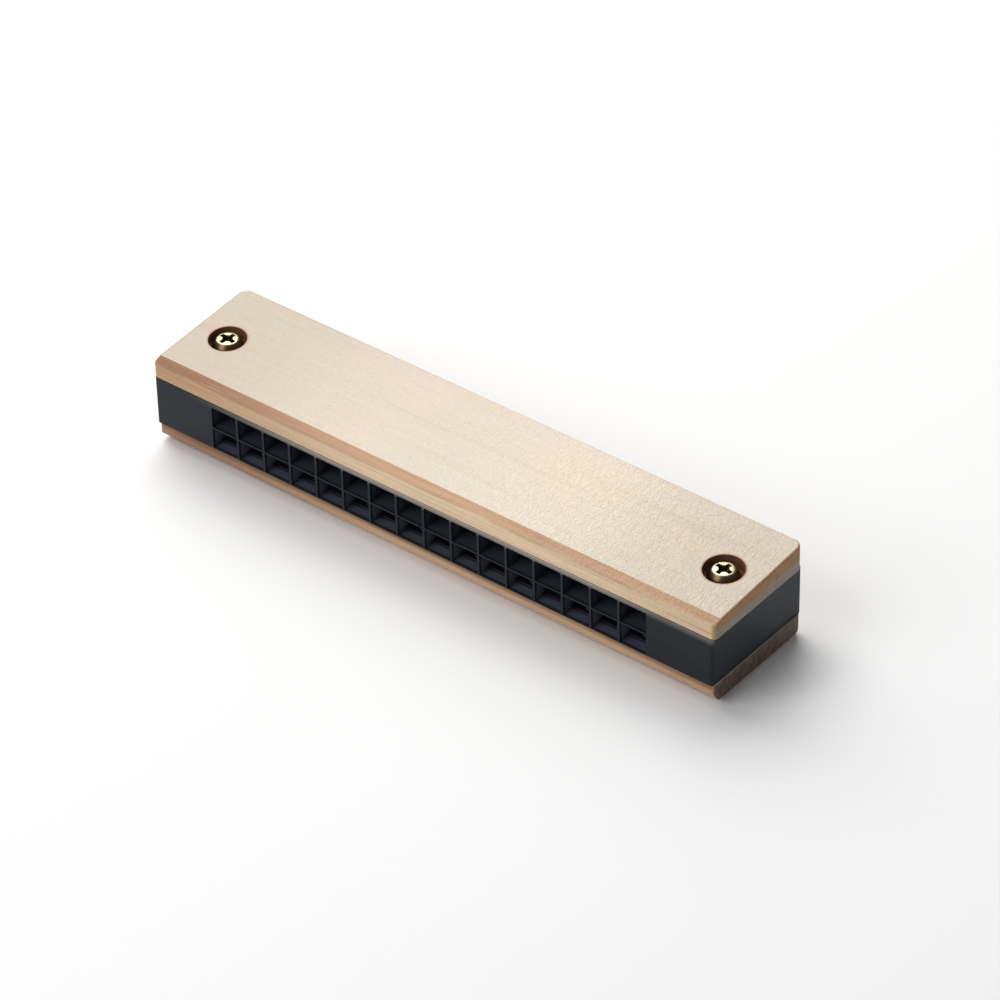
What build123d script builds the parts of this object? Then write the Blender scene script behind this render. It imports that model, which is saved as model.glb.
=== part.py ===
from build123d import *
import os

# ---------------------------------------------------------------------------
# Wooden harmonica, 16 columns x 2 rows of mouth holes.
# Millimetres.  X runs along the length, the mouth side faces -Y, +Z is up.
# The origin is the middle of the footprint, on the surface it stands on.
# ---------------------------------------------------------------------------

# Outer shape of the two wooden covers
LENGTH = 130.0
WOOD_FRONT = -13.2
WOOD_BACK = 13.33
FRONT_CORNER = 1.1
BOTTOM_LEFT_CORNER = 2.0
BACK_CORNER = 2.0

# Bottom cover: flat board with a rolled lower front edge
BOTTOM_COVER_T = 4.7
BOTTOM_ROLL = 4.1
EDGE_SOFT = 1.5

# Comb: plastic block between the covers
COMB_H = 10.3
COMB_LENGTH = 129.3
COMB_FRONT = -13.33
COMB_BACK = 13.1
COMB_CORNER = 0.6

# Top cover: thin at the mouth, rising to the back, bevelled front edge
TOP_FRONT_WALL = 3.05
TOP_BEVEL_RISE = 0.7
TOP_BEVEL_RUN = 2.05
TOP_BACK_T = 5.3
TOP_SOFT = 0.45

# Mouth holes
COLUMNS = 16
PITCH = 6.33
GRID_START = -50.9
WALL = 0.5
BOTTOM_STRIP = 0.25
LOWER_HOLE_H = 4.3
DIVIDER = 0.35
TOP_STRIP = 0.9
CHAMBER_END = 8.9
LIP_BACK = -11.0

# Reed plates, let into the comb behind its front lip
PLATE_T = 0.8
PLATE_HALF_X = 55.0
PLATE_FRONT = -10.9
PLATE_BACK = 11.6
PLATE_GAP = 0.1

# Reeds: long and wide on the low notes, short and narrow on the high notes
REED_T = 0.2
REED_LONG = 12.4
REED_SHORT = 7.6
REED_WIDE = 2.4
REED_NARROW = 1.9
SLOT_SIDE_GAP = 0.08
SLOT_TIP_GAP = 0.10
ROOT_GAP = 0.05
PAD_LENGTH = 2.95
BLOW_ROOT_Y = 5.2
DRAW_ROOT_Y = -7.7

# Rivets that hold the reeds
RIVET_R = 0.5
RIVET_HOLE_R = 0.52
RIVET_HEAD_R = 0.9
RIVET_HEAD_H = 0.3

# Flush nails that hold the plates
NAIL_R = 0.6
NAIL_HOLE_R = 0.62
NAIL_HEAD_R = 1.1
NAIL_HEAD_H = 0.5
NAIL_LENGTH = 3.2
NAIL_SPOTS = [(-53.0, -8.0), (53.0, -8.0), (-48.0, 10.3), (-16.0, 10.3), (16.0, 10.3), (48.0, 10.3)]

# Cavities milled in the covers, with a sound slot to the back
CAVITY_HALF_X = 51.6
CAVITY_FRONT = -11.0
CAVITY_BACK = 11.3
CAVITY_DEPTH = 2.0
SOUND_SLOT_HALF_X = 42.0
CAVITY_CORNER = 1.5

# Cover screws, sunk in counterbores near each end
SCREW_X = 57.5
SCREW_Y = -0.4
COUNTERBORE_R = [3.65, 3.85]
TOP_SEAT_DEPTH = 1.85
BOTTOM_SEAT_DEPTH = 2.4
SCREW_HEAD_R = 3.1
SCREW_HEAD_H = 2.0
HEAD_SHARES = [(0, 1), (0.35, 0.99), (0.62, 0.955), (0.72, 0.87), (0.80, 0.68), (0.90, 0.44), (1, 0.16)]
SCREW_RIM_TAPER = 0.1
SCREW_THREAD_HALF = 0.3
SCREW_THREAD_R = 1.45
SCREW_CORE_R = 1.1
SCREW_HOLE_R = 1.47
SCREW_PITCH = 1.0
SCREW_LENGTH = 7.0
SCREW_TIP = 1.4
RECESS_SPAN = 1.9
RECESS_WIDTH = 1.05
RECESS_DEPTH = 1.15
CROSS_TURN = [-8.0, -8.0]

# Heights that follow from the above
COMB_Z0 = BOTTOM_COVER_T
COMB_Z1 = COMB_Z0 + COMB_H
LOWER_Z0 = COMB_Z0 + BOTTOM_STRIP
LOWER_Z1 = LOWER_Z0 + LOWER_HOLE_H
UPPER_Z0 = LOWER_Z1 + DIVIDER
UPPER_Z1 = COMB_Z1 - TOP_STRIP
TOP_FRONT_Z = COMB_Z1 + TOP_FRONT_WALL
TOP_EDGE_Y = WOOD_FRONT + TOP_BEVEL_RUN
TOP_EDGE_Z = TOP_FRONT_Z + TOP_BEVEL_RISE
TOP_BACK_Z = COMB_Z1 + TOP_BACK_T


def block(x0, x1, y0, y1, z0, z1):
    """Box given by its limits."""
    size = Box(x1 - x0, y1 - y0, z1 - z0)
    return Pos((x0 + x1) / 2, (y0 + y1) / 2, (z0 + z1) / 2) * size


def rod(x, y, z0, z1, radius):
    """Upright cylinder given by its two end heights."""
    return Pos(x, y, (z0 + z1) / 2) * Cylinder(radius, z1 - z0)


def cover_blank(z0, z1, front_left):
    """Board outline: tight corners at the mouth, rounder ones behind, front left as given."""
    blank = block(-LENGTH / 2, LENGTH / 2, WOOD_FRONT, WOOD_BACK, z0, z1)
    corners = [(-1, -1, front_left), (1, -1, FRONT_CORNER), (-1, 1, BACK_CORNER), (1, 1, BACK_CORNER)]
    for side, depth, radius in corners:
        upright = blank.edges().filter_by(Axis.Z)
        here = [e for e in upright if side * e.center().X > 0 and depth * e.center().Y > 0]
        blank = fillet(here, radius)
    return blank


def rounded_block(x0, x1, y0, y1, z0, z1, radius):
    """Box with its four upright edges rounded."""
    outline = RectangleRounded(x1 - x0, y1 - y0, radius)
    return Pos((x0 + x1) / 2, (y0 + y1) / 2, z0) * extrude(outline, z1 - z0)


def prism_along_x(points, length):
    """Side profile, given as (y, z) points, pushed out along X about the middle."""
    outline = make_face(Polyline([(0, y, z) for y, z in points], close=True))
    return extrude(outline, length / 2, dir=(1, 0, 0), both=True)


def turned(points):
    """Solid of revolution about Z from (radius, height) points."""
    outline = make_face(Polyline([(r, 0, z) for r, z in points], close=True))
    return revolve(outline, Axis.Z)


def top_surface_z(y):
    """Height of the sloping top face of the top cover."""
    slope = (TOP_BACK_Z - TOP_EDGE_Z) / (WOOD_BACK - TOP_EDGE_Y)
    return TOP_EDGE_Z + slope * (y - TOP_EDGE_Y)


def upper_edges(shape, above_z):
    """Edges lying wholly above a height."""
    return [e for e in shape.edges() if e.bounding_box().min.Z > above_z]


def lower_edges(shape, below_z):
    """Edges lying wholly below a height."""
    return [e for e in shape.edges() if e.bounding_box().max.Z < below_z]


# ---------------------------------------------------------------------------
# Reed layout, shared by both plates
# ---------------------------------------------------------------------------


def reed_spec(index):
    """Place and size of one reed: even columns blow, odd columns draw."""
    share = index / (COLUMNS - 1)
    blow = index % 2 == 0
    spec = {
        "x": GRID_START + (index + 0.5) * PITCH,
        "half": (REED_WIDE + (REED_NARROW - REED_WIDE) * share) / 2,
        "length": REED_LONG + (REED_SHORT - REED_LONG) * share,
        "blow": blow,
        "root": BLOW_ROOT_Y if blow else DRAW_ROOT_Y,
        "way": -1 if blow else 1,
    }
    spec["tip"] = spec["root"] + spec["way"] * spec["length"]
    spec["pad_a"] = spec["root"] - spec["way"] * ROOT_GAP
    spec["pad_b"] = spec["pad_a"] - spec["way"] * PAD_LENGTH
    spec["rivet_y"] = (spec["pad_a"] + spec["pad_b"]) / 2
    return spec


def plate_levels(top):
    """Heights of the comb side and the cover side of a plate, and the outward sign."""
    if top:
        return COMB_Z1 - PLATE_T, COMB_Z1, 1
    return COMB_Z0 + PLATE_T, COMB_Z0, -1


def reed_band(spec, top):
    """Heights a reed fills: blow reeds on the comb side, draw reeds on the cover side."""
    inner, outer, out = plate_levels(top)
    if spec["blow"]:
        return sorted((inner, inner - out * REED_T))
    return sorted((outer, outer + out * REED_T))


def make_tongue(spec, top):
    z0, z1 = reed_band(spec, top)
    y0, y1 = sorted((spec["root"], spec["tip"]))
    return block(spec["x"] - spec["half"], spec["x"] + spec["half"], y0, y1, z0, z1)


def make_pad(spec, top):
    z0, z1 = reed_band(spec, top)
    y0, y1 = sorted((spec["pad_a"], spec["pad_b"]))
    pad = rounded_block(
        spec["x"] - spec["half"] - 0.2, spec["x"] + spec["half"] + 0.2, y0, y1, z0, z1, 0.4
    )
    return pad - rod(spec["x"], spec["rivet_y"], z0 - 1, z1 + 1, RIVET_HOLE_R)


def make_rivet(spec, top):
    """Shank through pad and plate, with a low domed head on each side."""
    inner, outer, out = plate_levels(top)
    z0, z1 = reed_band(spec, top)
    low = min(inner, outer, z0)
    high = max(inner, outer, z1)
    profile = [
        (0, low - RIVET_HEAD_H),
        (RIVET_HEAD_R * 0.6, low - RIVET_HEAD_H),
        (RIVET_HEAD_R, low - RIVET_HEAD_H * 0.35),
        (RIVET_HEAD_R, low),
        (RIVET_R, low),
        (RIVET_R, high),
        (RIVET_HEAD_R, high),
        (RIVET_HEAD_R, high + RIVET_HEAD_H * 0.35),
        (RIVET_HEAD_R * 0.6, high + RIVET_HEAD_H),
        (0, high + RIVET_HEAD_H),
    ]
    return Pos(spec["x"], spec["rivet_y"], 0) * turned(profile)


def nail_profile(radius, head_radius, length):
    """Countersunk nail pointing down from z = 0."""
    return [
        (0, 0),
        (head_radius, 0),
        (radius, -NAIL_HEAD_H),
        (radius, -length + 0.6),
        (0.1, -length),
        (0, -length),
    ]


def make_nail(x, y, top, extra=0.0):
    """One flush nail; a little extra radius turns it into its own hole."""
    nail = turned(nail_profile(NAIL_R + extra, NAIL_HEAD_R + extra, NAIL_LENGTH + extra))
    if top:
        return Pos(x, y, COMB_Z1) * nail
    return Pos(x, y, COMB_Z0) * Rot(180, 0, 0) * nail


# ---------------------------------------------------------------------------
# Parts
# ---------------------------------------------------------------------------


def make_plate(top):
    """Brass plate with one slot and one rivet hole per reed."""
    inner, outer, out = plate_levels(top)
    z0, z1 = sorted((inner, outer))
    plate = rounded_block(-PLATE_HALF_X, PLATE_HALF_X, PLATE_FRONT, PLATE_BACK, z0, z1, 0.8)
    cuts = []
    for index in range(COLUMNS):
        spec = reed_spec(index)
        half = spec["half"] + SLOT_SIDE_GAP
        tip = spec["tip"] + spec["way"] * SLOT_TIP_GAP
        y0, y1 = sorted((tip, spec["pad_a"]))
        cuts.append(block(spec["x"] - half, spec["x"] + half, y0, y1, z0 - 1, z1 + 1))
        cuts.append(rod(spec["x"], spec["rivet_y"], z0 - 1, z1 + 1, RIVET_HOLE_R))
    for x, y in NAIL_SPOTS:
        cuts.append(make_nail(x, y, top, extra=NAIL_HOLE_R - NAIL_R))
    return plate - cuts


def make_comb():
    """Block with 32 chambers, open at the mouth and towards the reed plates."""
    comb = rounded_block(
        -COMB_LENGTH / 2, COMB_LENGTH / 2, COMB_FRONT, COMB_BACK, COMB_Z0, COMB_Z1, COMB_CORNER
    )
    top_inner = COMB_Z1 - PLATE_T
    bottom_inner = COMB_Z0 + PLATE_T
    reach = PLATE_HALF_X + PLATE_GAP
    back = PLATE_BACK + PLATE_GAP
    cuts = [
        block(-reach, reach, LIP_BACK, back, top_inner, COMB_Z1 + 1),
        block(-reach, reach, LIP_BACK, back, COMB_Z0 - 1, bottom_inner),
    ]
    for index in range(COLUMNS):
        x0 = GRID_START + index * PITCH + WALL / 2
        x1 = x0 + PITCH - WALL
        cuts.append(block(x0, x1, COMB_FRONT - 1, CHAMBER_END, UPPER_Z0, UPPER_Z1))
        cuts.append(block(x0, x1, COMB_FRONT - 1, LIP_BACK, LOWER_Z0, LOWER_Z1))
        cuts.append(block(x0, x1, LIP_BACK, CHAMBER_END, UPPER_Z0, COMB_Z1))
        cuts.append(block(x0, x1, LIP_BACK, CHAMBER_END, COMB_Z0, LOWER_Z1))
    for side in (-1, 1):
        top_tip = top_surface_z(SCREW_Y) - TOP_SEAT_DEPTH - SCREW_LENGTH
        bottom_tip = BOTTOM_SEAT_DEPTH + SCREW_LENGTH
        cuts.append(rod(side * SCREW_X, SCREW_Y, top_tip - 0.1, COMB_Z1 + 1, SCREW_HOLE_R))
        cuts.append(rod(side * SCREW_X, SCREW_Y, COMB_Z0 - 1, bottom_tip + 0.05, SCREW_HOLE_R))
    for x, y in NAIL_SPOTS:
        cuts.append(make_nail(x, y, True, extra=NAIL_HOLE_R - NAIL_R))
        cuts.append(make_nail(x, y, False, extra=NAIL_HOLE_R - NAIL_R))
    return comb - cuts


def cover_cavity(z0, z1):
    """Room for the outer reeds, with a sound slot out of the back."""
    room = rounded_block(
        -CAVITY_HALF_X, CAVITY_HALF_X, CAVITY_FRONT, CAVITY_BACK, z0, z1, CAVITY_CORNER
    )
    slot = block(-SOUND_SLOT_HALF_X, SOUND_SLOT_HALF_X, CAVITY_BACK - 2, WOOD_BACK + 1, z0, z1)
    return room + slot


def make_top_cover():
    """Board that is thin at the mouth and thicker at the back."""
    profile = [
        (WOOD_FRONT, COMB_Z1),
        (WOOD_BACK, COMB_Z1),
        (WOOD_BACK, TOP_BACK_Z),
        (TOP_EDGE_Y, TOP_EDGE_Z),
        (WOOD_FRONT, TOP_FRONT_Z),
    ]
    cover = prism_along_x(profile, LENGTH + 10) & cover_blank(COMB_Z1 - 1, TOP_BACK_Z + 1, FRONT_CORNER)
    cover = fillet(upper_edges(cover, TOP_FRONT_Z - 0.01), TOP_SOFT)
    cover -= cover_cavity(COMB_Z1 - 1, COMB_Z1 + CAVITY_DEPTH)
    seat = top_surface_z(SCREW_Y) - TOP_SEAT_DEPTH
    for side in (-1, 1):
        cover -= rod(side * SCREW_X, SCREW_Y, seat, TOP_BACK_Z + 1, COUNTERBORE_R[side > 0])
        cover -= rod(side * SCREW_X, SCREW_Y, COMB_Z1 - 1, seat + 1, SCREW_HOLE_R)
    return cover


def make_bottom_cover():
    """Flat board with a rolled lower front edge."""
    cover = cover_blank(0, BOTTOM_COVER_T, BOTTOM_LEFT_CORNER)
    cover = fillet(lower_edges(cover, 0.01), EDGE_SOFT)
    keep = block(
        -LENGTH, LENGTH, WOOD_FRONT + BOTTOM_ROLL, WOOD_BACK + 1, -1, BOTTOM_COVER_T + 1
    )
    keep += block(-LENGTH, LENGTH, WOOD_FRONT - 1, WOOD_BACK, BOTTOM_ROLL, BOTTOM_COVER_T + 1)
    roll = Cylinder(BOTTOM_ROLL, 2 * LENGTH, rotation=(0, 90, 0))
    keep += Pos(0, WOOD_FRONT + BOTTOM_ROLL, BOTTOM_ROLL) * roll
    cover = cover & keep
    cover -= cover_cavity(BOTTOM_COVER_T - CAVITY_DEPTH, BOTTOM_COVER_T + 1)
    for side in (-1, 1):
        cover -= rod(side * SCREW_X, SCREW_Y, -1, BOTTOM_SEAT_DEPTH, COUNTERBORE_R[side > 0])
        cover -= rod(side * SCREW_X, SCREW_Y, BOTTOM_SEAT_DEPTH - 1, 6, SCREW_HOLE_R)
    return cover


def screw_profile():
    """Pan head above z = 0, thread ridges below it, down to a point."""
    points = [(out * SCREW_HEAD_R, up * SCREW_HEAD_H) for out, up in HEAD_SHARES]
    points.append((SCREW_HEAD_R - SCREW_RIM_TAPER, 0))
    points.append((SCREW_CORE_R, 0))
    z = -2 * SCREW_THREAD_HALF
    while z > -SCREW_LENGTH + SCREW_TIP:
        points.append((SCREW_CORE_R, z + SCREW_THREAD_HALF))
        points.append((SCREW_THREAD_R, z))
        points.append((SCREW_CORE_R, z - SCREW_THREAD_HALF))
        z -= SCREW_PITCH
    points.append((SCREW_CORE_R, -SCREW_LENGTH + SCREW_TIP))
    points.append((0, -SCREW_LENGTH))
    return points


def cross_recess(turn):
    """Tapered cross-shaped driver recess in the top of the head."""
    wings = []
    top = SCREW_HEAD_H + 0.1
    floor = SCREW_HEAD_H - RECESS_DEPTH
    for angle in (turn, turn + 90):
        upper = Pos(0, 0, top) * Rectangle(2 * RECESS_SPAN, RECESS_WIDTH)
        lower = Pos(0, 0, floor) * Rectangle(RECESS_SPAN, RECESS_WIDTH * 0.6)
        wings.append(Rot(0, 0, angle) * loft([upper, lower]))
    core = [(0, floor - 0.35), (0.75, floor + 0.25), (1.05, top), (0, top)]
    return wings[0] + wings[1] + turned(core)


def make_screw(x, seat, top, turn):
    screw = turned(screw_profile()) - cross_recess(turn)
    if top:
        return Pos(x, SCREW_Y, seat) * screw
    return Pos(x, SCREW_Y, seat) * Rot(180, 0, 0) * screw


def make_cover_screws(top):
    seat = top_surface_z(SCREW_Y) - TOP_SEAT_DEPTH if top else BOTTOM_SEAT_DEPTH
    return [make_screw(side * SCREW_X, seat, top, CROSS_TURN[side > 0]) for side in (-1, 1)]


def group(solids):
    """Several separate solids kept together as one part."""
    return Compound(children=[s.solid() for s in solids])


os.makedirs("parts", exist_ok=True)

export_step(make_comb(), "parts/comb.step")
export_step(make_top_cover(), "parts/top_cover.step")
export_step(make_bottom_cover(), "parts/bottom_cover.step")

for name, is_top in (("top", True), ("bottom", False)):
    specs = [reed_spec(i) for i in range(COLUMNS)]
    export_step(make_plate(is_top), f"parts/{name}_reed_plate.step")
    export_step(group([make_pad(s, is_top) for s in specs]), f"parts/{name}_reed_roots.step")
    export_step(group([make_rivet(s, is_top) for s in specs]), f"parts/{name}_reed_rivets.step")
    nails = [make_nail(x, y, is_top) for x, y in NAIL_SPOTS]
    export_step(group(nails), f"parts/{name}_plate_nails.step")
    export_step(group(make_cover_screws(is_top)), f"parts/{name}_cover_screws.step")
    for number, spec in enumerate(specs, start=1):
        export_step(make_tongue(spec, is_top), f"parts/{name}_reed_{number:02d}.step")
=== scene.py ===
import math

import bmesh
import bpy
from mathutils import Matrix, Vector


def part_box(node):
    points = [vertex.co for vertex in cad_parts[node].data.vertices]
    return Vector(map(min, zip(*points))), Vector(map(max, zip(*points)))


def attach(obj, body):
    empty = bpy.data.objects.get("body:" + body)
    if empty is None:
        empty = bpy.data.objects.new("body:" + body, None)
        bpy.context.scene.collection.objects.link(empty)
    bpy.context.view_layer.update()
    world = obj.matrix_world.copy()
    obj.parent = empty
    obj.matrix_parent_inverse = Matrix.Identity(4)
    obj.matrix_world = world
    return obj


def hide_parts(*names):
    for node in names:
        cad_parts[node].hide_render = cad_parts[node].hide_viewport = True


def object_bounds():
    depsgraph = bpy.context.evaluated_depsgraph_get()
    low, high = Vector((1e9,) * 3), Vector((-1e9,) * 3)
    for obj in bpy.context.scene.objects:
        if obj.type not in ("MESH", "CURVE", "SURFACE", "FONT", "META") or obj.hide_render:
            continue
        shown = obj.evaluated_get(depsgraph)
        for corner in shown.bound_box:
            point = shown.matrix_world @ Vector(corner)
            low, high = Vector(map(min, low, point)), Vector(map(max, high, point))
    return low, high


# ---------------------------------------------------------------------------
# Wooden harmonica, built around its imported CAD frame.  Metres throughout:
# +X along the length, the mouth side faces -Y, +Z up, standing on z = 0.
# ---------------------------------------------------------------------------

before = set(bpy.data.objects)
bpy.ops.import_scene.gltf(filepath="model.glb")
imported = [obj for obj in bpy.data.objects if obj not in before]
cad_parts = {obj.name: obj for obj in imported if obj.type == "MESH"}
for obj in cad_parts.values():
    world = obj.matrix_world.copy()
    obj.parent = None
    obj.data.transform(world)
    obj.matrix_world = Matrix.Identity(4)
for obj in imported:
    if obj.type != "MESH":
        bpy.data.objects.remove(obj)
CAD_LOW, CAD_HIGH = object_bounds()

MM = 0.001
BODY = "harmonica_body"

# Camera: a long lens, above the mouth side and to the right
CAMERA_AZIMUTH = math.radians(39.206)
CAMERA_ELEVATION = math.radians(37.470)
CAMERA_ROLL = math.radians(-1.294)
CAMERA_DISTANCE = 0.90463
CAMERA_LENS = 179.63
CAMERA_SENSOR = 36.0
CAMERA_AIM = Vector((6.906, 0.0, 0.887)) * MM

# Softened edges
COVER_EDGE = 0.16 * MM
COMB_EDGE = 0.10 * MM
SCREW_EDGE = 0.05 * MM

# Clean-up of the CAD meshes
MERGE_GAP = 0.001 * MM
FLAT_ANGLE = math.radians(0.3)
SHARP_ANGLE = math.radians(35)

# Floor
FLOOR_HALF = 2.5
FLOOR_GAP = 0.05 * MM
FLOOR_WHITE = (0.93, 0.93, 0.93)

# The rest of this block is in millimetres, for the materials.
comb_low, comb_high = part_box("comb")
COMB_FRONT_Y = comb_low.y / MM
COMB_BOTTOM_Z = comb_low.z / MM
COMB_TOP_Z = comb_high.z / MM

# Paler lining of the comb's holes: how far it reaches, and the height under which it is palest
LINING_HALF_X = 51.4
LINING_BACK_Y = 11.0
LOWER_LINING_Z = 9.5

# Top board: where its front bevel starts, and its top face, which rises towards the back
BEVEL_Z = COMB_TOP_Z + 3.05
TOP_MIDDLE_Z = 19.456
TOP_SLOPE = 0.0633

# Share of the top board's thickness that the greyer strip on its ends takes up
END_STRIP_SHARE = 0.48

# Cover screws and the holes they sit in
SCREW_X = 57.5
SCREW_Y = -0.4
HEAD_FLAT_R = 2.15
RECESS_R = 2.05
RECESS_LIGHT_Z = 19.48
RECESS_DARK_Z = 19.36
LEFT_BORE_R = 3.65
RIGHT_BORE_R = 3.85


# ---------------------------------------------------------------------------
# Camera, floor and light
# ---------------------------------------------------------------------------


def make_camera():
    """Camera aimed near the middle of the object, with a slight roll."""
    flat = math.cos(CAMERA_ELEVATION)
    back = Vector(
        (
            math.sin(CAMERA_AZIMUTH) * flat,
            -math.cos(CAMERA_AZIMUTH) * flat,
            math.sin(CAMERA_ELEVATION),
        )
    )
    aim = Vector((0, 0, (CAD_LOW.z + CAD_HIGH.z) / 2)) + CAMERA_AIM
    level = back.to_track_quat("Z", "Y").to_matrix().to_4x4()
    data = bpy.data.cameras.new("camera")
    data.lens = CAMERA_LENS
    data.sensor_width = CAMERA_SENSOR
    data.clip_start = 0.01
    data.clip_end = 20.0
    camera = bpy.data.objects.new("camera", data)
    roll = Matrix.Rotation(CAMERA_ROLL, 4, "Z")
    camera.matrix_world = Matrix.Translation(aim + back * CAMERA_DISTANCE) @ level @ roll
    bpy.context.scene.collection.objects.link(camera)
    bpy.context.scene.camera = camera


def make_area_light(name, direction, distance, size, power, colour):
    """Square soft light shining at the object from a direction."""
    data = bpy.data.lights.new(name, "AREA")
    data.shape = "SQUARE"
    data.size = size
    data.energy = power
    data.color = colour
    light = bpy.data.objects.new(name, data)
    away = Vector(direction).normalized()
    light.location = away * distance
    light.rotation_mode = "QUATERNION"
    light.rotation_quaternion = away.to_track_quat("Z", "Y")
    bpy.context.scene.collection.objects.link(light)


def make_world(colour, strength):
    """Even surrounding light."""
    world = bpy.data.worlds.new("studio")
    world.use_nodes = True
    background = world.node_tree.nodes["Background"]
    background.inputs["Color"].default_value = (*colour, 1.0)
    background.inputs["Strength"].default_value = strength
    bpy.context.scene.world = world


def make_floor():
    """Plain pale floor that the harmonica stands on."""
    half = FLOOR_HALF
    mesh = bpy.data.meshes.new("floor")
    corners = [(-half, -half, 0), (half, -half, 0), (half, half, 0), (-half, half, 0)]
    mesh.from_pydata(corners, [], [(0, 1, 2, 3)])
    floor = bpy.data.objects.new("floor", mesh)
    floor.location.z = CAD_LOW.z - FLOOR_GAP
    g = Graph("floor_paper")
    g.feed(g.shader["Base Color"], FLOOR_WHITE)
    g.shader["Roughness"].default_value = 0.95
    g.shader["Specular IOR Level"].default_value = 0.1
    mesh.materials.append(g.material)
    bpy.context.scene.collection.objects.link(floor)


# ---------------------------------------------------------------------------
# Shader helper
# ---------------------------------------------------------------------------


class Graph:
    """A material's node graph with short calls for the nodes used here."""

    def __init__(self, name):
        self.material = bpy.data.materials.new(name)
        self.material.use_nodes = True
        self.nodes = self.material.node_tree.nodes
        self.links = self.material.node_tree.links
        self.shader = self.nodes["Principled BSDF"].inputs

    def feed(self, socket, value):
        """Links an output to a socket, or sets a plain value on it."""
        if isinstance(value, bpy.types.NodeSocket):
            self.links.new(value, socket)
        elif isinstance(value, tuple) and len(value) == 3 and socket.type == "RGBA":
            socket.default_value = (*value, 1.0)
        else:
            socket.default_value = value

    def node(self, kind, *values, output=0, **settings):
        """Adds a node, feeds its inputs in order and returns one output."""
        made = self.nodes.new(kind)
        for key, value in settings.items():
            setattr(made, key, value)
        for socket, value in zip(made.inputs, values):
            if value is not None:
                self.feed(socket, value)
        return made.outputs[output]

    def math(self, operation, a, b=None, c=None):
        return self.node("ShaderNodeMath", a, b, c, operation=operation)

    def place(self):
        """Object-space position in millimetres."""
        place = self.node("ShaderNodeTexCoord", output=3)
        return self.stretch(place, (1 / MM, 1 / MM, 1 / MM))

    def stretch(self, vector, scale):
        return self.node("ShaderNodeVectorMath", vector, scale, operation="MULTIPLY")

    def shift(self, vector, offset):
        return self.node("ShaderNodeVectorMath", vector, offset, operation="ADD")

    def split(self, vector):
        made = self.nodes.new("ShaderNodeSeparateXYZ")
        self.feed(made.inputs[0], vector)
        return made.outputs

    def noise(self, vector, scale=1.0, detail=3.0, roughness=0.5, distortion=0.0):
        made = self.nodes.new("ShaderNodeTexNoise")
        self.feed(made.inputs["Vector"], vector)
        made.inputs["Scale"].default_value = scale
        made.inputs["Detail"].default_value = detail
        made.inputs["Roughness"].default_value = roughness
        made.inputs["Distortion"].default_value = distortion
        return made.outputs[0]

    def span(self, value, low, high, to_low=0.0, to_high=1.0, smooth=True):
        """Maps low..high to to_low..to_high and holds the ends."""
        made = self.nodes.new("ShaderNodeMapRange")
        made.interpolation_type = "SMOOTHSTEP" if smooth else "LINEAR"
        for name, given in (
            ("Value", value),
            ("From Min", low),
            ("From Max", high),
            ("To Min", to_low),
            ("To Max", to_high),
        ):
            self.feed(made.inputs[name], given)
        return made.outputs[0]

    def mix(self, share, a, b, blend="MIX"):
        made = self.nodes.new("ShaderNodeMix")
        made.data_type = "RGBA"
        made.blend_type = blend
        self.feed(made.inputs["Factor"], share)
        self.feed(made.inputs[6], a)
        self.feed(made.inputs[7], b)
        return made.outputs[2]

    def bump(self, height, strength, distance, under=None):
        made = self.nodes.new("ShaderNodeBump")
        made.inputs["Strength"].default_value = strength
        made.inputs["Distance"].default_value = distance
        self.feed(made.inputs["Height"], height)
        if under is not None:
            self.feed(made.inputs["Normal"], under)
        return made.outputs[0]


# ---------------------------------------------------------------------------
# Materials
# ---------------------------------------------------------------------------

# Wood, top face
PALE = (0.76, 0.665, 0.545)
PALE_COOL = (0.735, 0.66, 0.55)
PALE_PINK = (0.775, 0.64, 0.52)
PALE_GLINT = (0.86, 0.79, 0.68)
STREAK = (0.62, 0.50, 0.385)
# Painted shade darkening the flat faces towards both ends, and painted light brightening them
# towards the right
ENDS_SHADE = (0.81, 0.80, 0.78)
RIGHT_LIGHT = (1.16, 1.16, 1.15)

# Wood, long sides
SIDE_LIGHT = (0.87, 0.66, 0.44)
SIDE_LIGHT_LEFT = (0.54, 0.33, 0.175)
SIDE_DARK = (0.58, 0.36, 0.215)
SIDE_DARK_LEFT = (0.31, 0.145, 0.075)
BOTTOM_SIDE = (0.68, 0.44, 0.265)
BOTTOM_SIDE_LEFT = (0.36, 0.18, 0.095)
# Painted shadow that the comb casts on the bottom board's side, just under the joint
COMB_SHADOW_BROWN = (0.15, 0.085, 0.045)
CORNER_ORANGE = (0.52, 0.27, 0.11)

# Wood, ends and drilled holes
END_UPPER = (0.40, 0.225, 0.10)
END_LOWER = (0.33, 0.28, 0.23)
# Painted shade on the bottom board's ends, which stand in the contact shadow by the floor
BOTTOM_END_SHADE = (0.15, 0.105, 0.08)
BOTTOM_END_DEEP_SHADE = (0.075, 0.052, 0.040)
PORE = (0.20, 0.11, 0.055)
# Painted shade on the walls of the screw holes
BORE_WALL_SHADE = (0.19, 0.085, 0.045)
BORE_RIM = (0.50, 0.30, 0.18)

# Plastic
MOULDED = (0.0050, 0.0082, 0.0135)
RUBBED = (0.0100, 0.0145, 0.0210)
HOLE_LINING = (0.034, 0.039, 0.056)
LOW_HOLE_LINING = (0.085, 0.090, 0.125)
# Painted highlight along the comb's top front edge, under the top board
EDGE_HIGHLIGHT = (0.36, 0.31, 0.265)

# Metal
SCREW_FLAT = (0.62, 0.54, 0.36)
SCREW_STAIN = (0.48, 0.38, 0.20)
# Painted reflection of the dark bore walls on the head's flank, and painted shade in the driver
# recess
SCREW_FLANK_REFLECTION = (0.10, 0.055, 0.028)
SCREW_RECESS_SHADE = (0.055, 0.050, 0.018)
# Painted shade on the plates and reeds inside the comb, towards the mouth
MOUTH_SHADE_GREY = (0.17, 0.17, 0.21)


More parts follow.
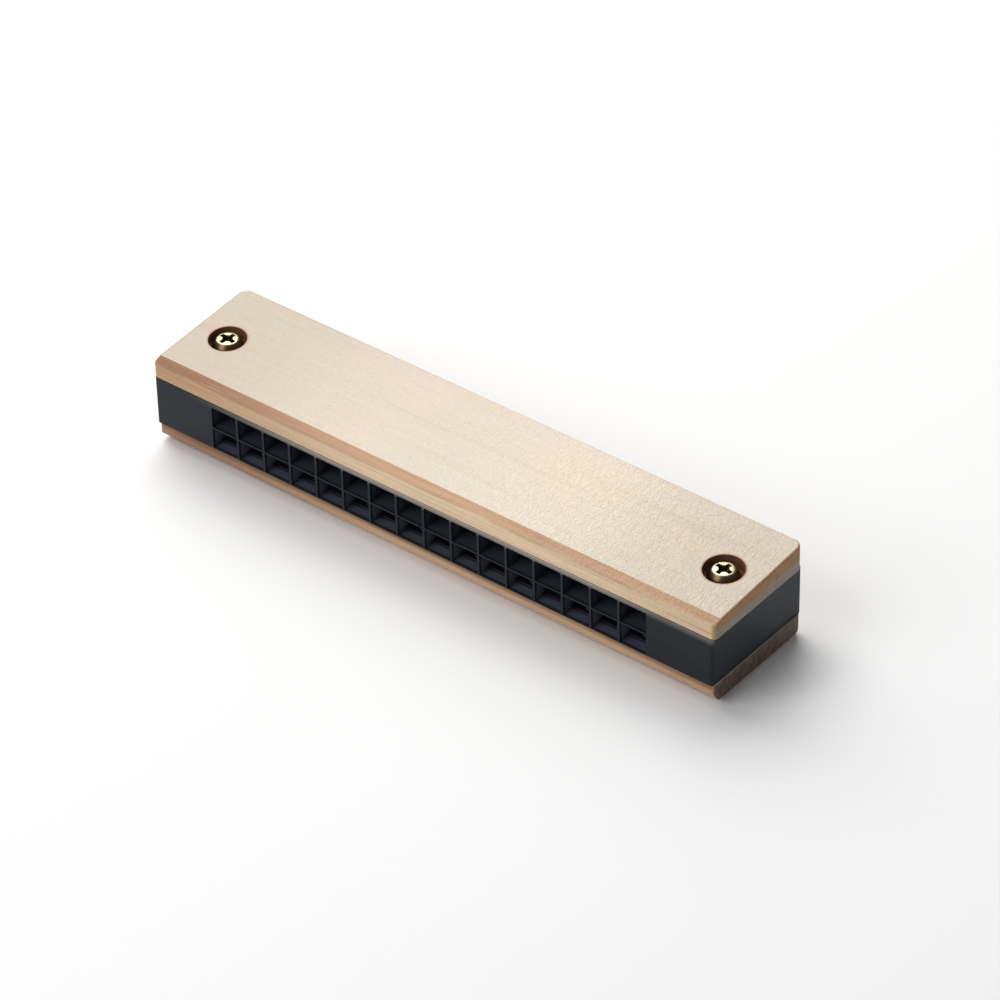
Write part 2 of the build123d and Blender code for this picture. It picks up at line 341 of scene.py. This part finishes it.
class Grain:
    """Noise patterns of one board, most of them stretched along its length."""

    def __init__(self, g, offset):
        p = g.shift(g.place(), offset)
        self.long = g.noise(
            g.stretch(p, (0.012, 0.42, 0.42)), detail=5.0, roughness=0.6, distortion=0.4
        )
        self.fine = g.noise(g.stretch(p, (0.05, 2.4, 2.4)), detail=4.0, roughness=0.65)
        self.cloud = g.noise(g.stretch(p, (0.035, 0.07, 0.07)), detail=2.0)
        self.fleck = g.noise(g.stretch(p, (0.55, 2.6, 2.6)), detail=2.0, distortion=0.6)
        self.grit = g.noise(g.stretch(p, (1.1, 2.2, 2.2)), detail=3.0, roughness=0.7)
        self.wander = g.noise(g.stretch(p, (0.05, 0.05, 0.2)), detail=3.0)
        self.streak = g.noise(g.stretch(p, (0.03, 1.2, 2.6)), detail=4.0, roughness=0.6)
        self.lines = g.noise(g.stretch(p, (0.05, 2.6, 5.0)), detail=4.0, roughness=0.7)
        self.rings = g.noise(
            g.stretch(p, (0.3, 1.6, 0.5)), detail=4.0, roughness=0.6, distortion=0.8
        )
        self.pores = g.noise(g.stretch(p, (2.0, 5.0, 5.0)), detail=2.0)
        self.ticks = g.noise(g.stretch(p, (0.5, 4.5, 0.7)), detail=2.0)
        self.wrinkle = g.noise(
            g.stretch(p, (1.5, 0.8, 1.1)), detail=3.0, roughness=0.55, distortion=1.4
        )


def screw_distance(g, x, y):
    """Distance in millimetres from the nearer screw axis."""
    across = g.math("SUBTRACT", g.math("ABSOLUTE", x), SCREW_X)
    along = g.math("SUBTRACT", y, SCREW_Y)
    flat = g.node("ShaderNodeCombineXYZ", across, along, 0.0)
    return g.node("ShaderNodeVectorMath", flat, operation="LENGTH", output=1)


def wood_face(g, grain, x):
    """Flat faces: soft streaks, cloudy tone, flecks and grit, with painted shade towards the ends
    and painted light towards the right.
    """
    tone = g.mix(g.span(grain.cloud, 0.38, 0.62), PALE_COOL, PALE_PINK)
    tone = g.mix(g.span(grain.long, 0.35, 0.60, 0.75, 0.1), tone, PALE)
    face = g.mix(g.span(grain.long, 0.54, 0.72, 0.0, 0.28), tone, STREAK)
    face = g.mix(g.span(grain.fine, 0.52, 0.80, 0.0, 0.30), face, STREAK)
    face = g.mix(g.span(grain.fleck, 0.60, 0.78, 0.0, 0.40), face, STREAK)
    face = g.mix(g.span(grain.grit, 0.52, 0.72, 0.0, 0.35), face, STREAK)
    face = g.mix(g.span(grain.grit, 0.45, 0.28, 0.0, 0.45), face, PALE_GLINT)
    # Painted shade towards both ends, then painted light towards the right
    end_shade_share = g.span(g.math("ABSOLUTE", x), 12.0, 60.0)
    face = g.mix(end_shade_share, face, g.mix(1.0, face, ENDS_SHADE, blend="MULTIPLY"))
    right_light_share = g.span(x, -10.0, 35.0)
    return g.mix(right_light_share, face, g.mix(1.0, face, RIGHT_LIGHT, blend="MULTIPLY"))


def wood_side(g, grain, banded, x, height, nx, ny):
    """Long sides: streaked, browner to the left, darker on the bevel, with painted shadow along
    the comb.
    """
    left = g.span(x, -5.0, -62.0)
    if banded:
        low = g.mix(left, SIDE_LIGHT, SIDE_LIGHT_LEFT)
        high = g.mix(left, SIDE_DARK, SIDE_DARK_LEFT)
        side = g.mix(g.span(height, BEVEL_Z - 0.35, BEVEL_Z + 0.15), low, high)
    else:
        # Painted shadow under the comb, along the top of the bottom board's side
        comb_shadow = g.span(height, COMB_BOTTOM_Z - 1.5, COMB_BOTTOM_Z - 0.2, 0.0, 0.85)
        side = g.mix(comb_shadow, g.mix(left, BOTTOM_SIDE, BOTTOM_SIDE_LEFT), COMB_SHADOW_BROWN)
    side = g.mix(g.span(grain.streak, 0.45, 0.75, 0.0, 0.32), side, SIDE_DARK_LEFT)
    side = g.mix(g.span(grain.lines, 0.52, 0.72, 0.0, 0.35), side, SIDE_DARK_LEFT)
    side = g.mix(g.span(grain.lines, 0.46, 0.30, 0.0, 0.30), side, PALE)
    side = g.mix(g.span(x, 42.0, 66.0, 0.0, 0.20), side, SIDE_DARK_LEFT)
    at_corner = g.math("MULTIPLY", g.span(nx, 0.25, 0.55), g.span(ny, -0.35, -0.75))
    return g.mix(g.math("MULTIPLY", at_corner, 0.85), side, CORNER_ORANGE)


def wood_end(g, grain, banded, y, height):
    """Ends: rings and pores, with a warm upper part over a greyer strip on a banded board;
    otherwise dark painted shade, lightening towards the back.
    """
    if banded:
        top_here = g.math("MULTIPLY_ADD", y, TOP_SLOPE, TOP_MIDDLE_Z)
        above = g.math("SUBTRACT", top_here, COMB_TOP_Z)
        border = g.math("MULTIPLY_ADD", above, END_STRIP_SHARE, COMB_TOP_Z)
        ragged = g.span(grain.ticks, 0.35, 0.65, -0.25, 0.25, smooth=False)
        over = g.math("SUBTRACT", height, g.math("ADD", border, ragged))
        end = g.mix(g.span(over, -0.12, 0.12), END_LOWER, END_UPPER)
    else:
        # Painted shade on the bottom board's ends, darkest at the front
        end = g.mix(g.span(grain.rings, 0.4, 0.65), BOTTOM_END_DEEP_SHADE, BOTTOM_END_SHADE)
        end = g.mix(g.span(y, -2.0, 12.0, 0.0, 0.6), end, BOTTOM_END_SHADE)
    end = g.mix(g.span(grain.rings, 0.45, 0.70, 0.0, 0.30), end, PORE)
    return g.mix(g.span(grain.pores, 0.60, 0.75, 0.0, 0.35), end, PORE)


def drilled(g, colour, x, y):
    """Paints shade on the walls of the screw holes and warms their rims."""
    radius = g.span(x, -1.0, 1.0, LEFT_BORE_R, RIGHT_BORE_R)
    outside = g.math("SUBTRACT", screw_distance(g, x, y), radius)
    colour = g.mix(g.span(outside, 0.50, 0.12, 0.0, 0.85), colour, BORE_RIM)
    # Painted shade on the bore walls
    return g.mix(g.span(outside, 0.12, 0.03), colour, BORE_WALL_SHADE)


def wood_normal(g, grain, x):
    """Fine pores and grit, with leathery wrinkles that grow towards the right end."""
    amount = g.span(x, -20.0, 50.0, 0.35, 1.9)
    relief = g.math("MULTIPLY", g.span(grain.wrinkle, 0.30, 0.62), amount)
    relief = g.math("MULTIPLY_ADD", grain.grit, 0.6, relief)
    normal = g.bump(relief, 0.5, 0.10 * MM)
    return g.bump(grain.pores, 0.15, 0.03 * MM, under=normal)


def wood_material(name, banded, offset):
    """Pale fine-grained board: warmer sides, end grain on the ends, painted shade in the bored
    holes and, when banded, a darker band under the top face. The offset moves its noise patterns."""
    g = Graph(name)
    grain = Grain(g, offset)
    x, y, z = g.split(g.place())
    nx, ny, nz = g.split(g.node("ShaderNodeTexCoord", output=1))
    uneven = g.span(grain.wander, 0.3, 0.7, -0.15, 0.15, smooth=False)
    height = g.math("ADD", z, uneven)

    side = wood_side(g, grain, banded, x, height, nx, ny)
    end = wood_end(g, grain, banded, y, height)
    is_end = g.span(g.math("ABSOLUTE", nx), 0.55, 0.90)
    is_flat = g.math("MAXIMUM", g.span(nz, 0.955, 0.985), g.span(nz, -0.90, -0.98))
    colour = g.mix(is_flat, g.mix(is_end, side, end), wood_face(g, grain, x))
    g.feed(g.shader["Base Color"], drilled(g, colour, x, y))
    g.feed(g.shader["Roughness"], g.span(grain.fine, 0.3, 0.7, 0.52, 0.66, smooth=False))
    g.shader["Specular IOR Level"].default_value = 0.30
    g.feed(g.shader["Normal"], wood_normal(g, grain, x))
    return g.material


def plastic_material():
    """Satin moulded plastic, blue-black, with a fine skin and faint rubbing. The holes are a
    little paler inside and the edge under the top board carries a painted highlight."""
    g = Graph("comb_moulded_plastic")
    p = g.place()
    x, y, z = g.split(p)
    skin = g.noise(p, scale=6.0, detail=3.0)
    rub = g.noise(g.stretch(p, (0.08, 0.3, 0.5)), detail=5.0, roughness=0.65)
    tint = g.mix(g.span(rub, 0.35, 0.7), MOULDED, RUBBED)

    behind_front = g.span(y, COMB_FRONT_Y + 0.13, COMB_FRONT_Y + 0.93)
    reach = g.math("ABSOLUTE", x)
    between_ends = g.span(reach, LINING_HALF_X + 0.2, LINING_HALF_X - 0.2)
    inside = g.math("MULTIPLY", behind_front, between_ends)
    inside = g.math("MULTIPLY", inside, g.span(y, LINING_BACK_Y + 0.5, LINING_BACK_Y - 0.5))
    lower = g.span(z, LOWER_LINING_Z + 0.2, LOWER_LINING_Z - 0.2)
    tint = g.mix(inside, tint, g.mix(lower, HOLE_LINING, LOW_HOLE_LINING))

    # Painted highlight on the comb's front just under the top board, weaker towards the right end
    near_top = g.span(z, COMB_TOP_Z - 1.4, COMB_TOP_Z - 0.1, smooth=False)
    edge_highlight = g.math("MULTIPLY", near_top, g.span(x, -60.0, -20.0))
    edge_highlight = g.math("MULTIPLY", edge_highlight, g.span(x, 36.0, 56.0, 1.0, 0.45))
    edge_highlight = g.math("MULTIPLY", edge_highlight, g.span(y, COMB_FRONT_Y + 0.83, COMB_FRONT_Y + 0.33))
    tint = g.mix(edge_highlight, tint, EDGE_HIGHLIGHT)

    g.feed(g.shader["Base Color"], tint)
    g.feed(g.shader["Roughness"], g.span(rub, 0.3, 0.75, 0.38, 0.52, smooth=False))
    g.shader["Specular IOR Level"].default_value = 0.22
    g.feed(g.shader["Normal"], g.bump(skin, 0.12, 0.02 * MM))
    return g.material


def screw_material(name, heads_up):
    """Yellow-plated steel. Heads that point up get a bright flat, a painted reflection of the
    dark bore on the flank and painted shade in the driver recess."""
    g = Graph(name)
    p = g.place()
    x, y, z = g.split(p)
    stain = g.noise(p, scale=0.9, detail=4.0, roughness=0.6)
    scratch = g.noise(g.stretch(p, (1.5, 6.0, 6.0)), detail=3.0)
    base = g.mix(g.span(stain, 0.40, 0.68), SCREW_FLAT, SCREW_STAIN)
    if heads_up:
        # Painted reflection of the dark bore on the flank, then painted shade in the recess
        out = screw_distance(g, x, y)
        flank_reflection = g.span(out, HEAD_FLAT_R - 0.15, HEAD_FLAT_R + 0.1, 0.0, 0.92)
        base = g.mix(flank_reflection, base, SCREW_FLANK_REFLECTION)
        recess_shade = g.span(z, RECESS_LIGHT_Z, RECESS_DARK_Z)
        recess_shade = g.math("MULTIPLY", recess_shade, g.span(out, RECESS_R + 0.05, RECESS_R))
        base = g.mix(recess_shade, base, SCREW_RECESS_SHADE)
    g.feed(g.shader["Base Color"], base)
    g.shader["Metallic"].default_value = 1.0
    g.feed(g.shader["Roughness"], g.span(stain, 0.3, 0.75, 0.26, 0.42, smooth=False))
    g.feed(g.shader["Normal"], g.bump(scratch, 0.2, 0.01 * MM))
    return g.material


def metal_material(name, colour, tarnish, brush, rough, lines, shaded_mouth=True):
    """Metal with directional marks, uneven tarnish and small scratches. Unless turned off,
    painted shade makes it dark grey towards the mouth, inside the comb where light hardly
    reaches."""
    g = Graph(name)
    p = g.place()
    marks = g.noise(g.stretch(p, brush), detail=4.0, roughness=0.7)
    stain = g.noise(p, scale=0.35, detail=4.0, roughness=0.6)
    base = g.mix(g.span(stain, 0.40, 0.68), colour, tarnish)
    base = g.mix(g.span(marks, 0.5, 0.8, 0.0, 0.35), base, tarnish)
    if shaded_mouth:
        y = g.split(p)[1]
        # Painted shade: dark grey towards the mouth side
        base = g.mix(g.span(y, 1.0, -3.0), base, MOUTH_SHADE_GREY)
    g.feed(g.shader["Base Color"], base)
    g.shader["Metallic"].default_value = 1.0
    g.feed(g.shader["Roughness"], g.span(marks, 0.3, 0.75, *rough, smooth=False))
    g.feed(g.shader["Normal"], g.bump(marks, lines, 0.01 * MM))
    return g.material


# ---------------------------------------------------------------------------
# Pieces
# ---------------------------------------------------------------------------


def eased_copy(piece, node, width, segments, material):
    """A CAD node's shape with its flat faces merged and evenly shaded and its sharp edges
    rounded."""
    mesh = bpy.data.meshes.new(piece)
    bm = bmesh.new()
    bm.from_mesh(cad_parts[node].data)
    bmesh.ops.remove_doubles(bm, verts=bm.verts, dist=MERGE_GAP)
    bmesh.ops.dissolve_limit(bm, angle_limit=FLAT_ANGLE, verts=bm.verts, edges=bm.edges)
    bm.to_mesh(mesh)
    bm.free()
    mesh.materials.append(material)
    made = bpy.data.objects.new(piece, mesh)
    bpy.context.scene.collection.objects.link(made)
    mesh.shade_smooth()
    ease = made.modifiers.new("eased edges", "BEVEL")
    ease.width = width
    ease.segments = segments
    ease.limit_method = "ANGLE"
    ease.angle_limit = SHARP_ANGLE
    ease.use_clamp_overlap = True
    even = made.modifiers.new("even flat faces", "WEIGHTED_NORMAL")
    even.weight = 100
    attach(made, BODY)
    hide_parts(node)


def paint(node, material):
    """Puts a material on a CAD node that is shown as it is."""
    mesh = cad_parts[node].data
    mesh.materials.clear()
    mesh.materials.append(material)


# ---------------------------------------------------------------------------
# The scene
# ---------------------------------------------------------------------------

scene = bpy.context.scene
scene.view_settings.view_transform = "Standard"

make_camera()
make_world(colour=(0.95, 0.97, 1.0), strength=0.20)
make_area_light(
    "key",
    direction=(-0.60, 0.35, 0.72),
    distance=1.1,
    size=1.2,
    power=15.4,
    colour=(1.0, 0.985, 0.96),
)
make_area_light(
    "fill",
    direction=(-0.30, -0.70, 0.65),
    distance=1.3,
    size=0.9,
    power=7.0,
    colour=(0.97, 0.98, 1.0),
)
make_floor()

wood_top = wood_material("top_board_wood", banded=True, offset=(3.0, 11.0, 5.0))
wood_bottom = wood_material("bottom_board_wood", banded=False, offset=(40.0, 3.0, 21.0))
plastic = plastic_material()
plate_brass = metal_material(
    "plate_brass",
    colour=(0.72, 0.53, 0.24),
    tarnish=(0.48, 0.33, 0.15),
    brush=(0.05, 3.0, 3.0),
    rough=(0.28, 0.45),
    lines=0.3,
)
reed_brass = metal_material(
    "reed_brass",
    colour=(0.80, 0.62, 0.30),
    tarnish=(0.62, 0.44, 0.20),
    brush=(4.0, 0.15, 4.0),
    rough=(0.22, 0.38),
    lines=0.3,
)
rivet_brass = metal_material(
    "rivet_brass",
    colour=(0.74, 0.55, 0.25),
    tarnish=(0.50, 0.35, 0.16),
    brush=(1.5, 1.5, 1.5),
    rough=(0.25, 0.45),
    lines=0.2,
)
nail_steel = metal_material(
    "nail_steel",
    colour=(0.60, 0.60, 0.59),
    tarnish=(0.38, 0.37, 0.35),
    brush=(2.0, 2.0, 2.0),
    rough=(0.30, 0.50),
    lines=0.2,
    shaded_mouth=False,
)
zinc_top = screw_material("top_yellow_zinc", heads_up=True)
zinc_bottom = screw_material("bottom_yellow_zinc", heads_up=False)

eased_copy("top_cover_board", "top_cover", COVER_EDGE, 3, wood_top)
eased_copy("bottom_cover_board", "bottom_cover", COVER_EDGE, 3, wood_bottom)
eased_copy("comb_block", "comb", COMB_EDGE, 2, plastic)
eased_copy("top_screws", "top_cover_screws", SCREW_EDGE, 2, zinc_top)
eased_copy("bottom_screws", "bottom_cover_screws", SCREW_EDGE, 2, zinc_bottom)

for side in ("top", "bottom"):
    paint(f"{side}_reed_plate", plate_brass)
    paint(f"{side}_reed_roots", reed_brass)
    paint(f"{side}_reed_rivets", rivet_brass)
    paint(f"{side}_plate_nails", nail_steel)
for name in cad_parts:
    if "_reed_" in name and name[-2:].isdigit():
        paint(name, reed_brass)
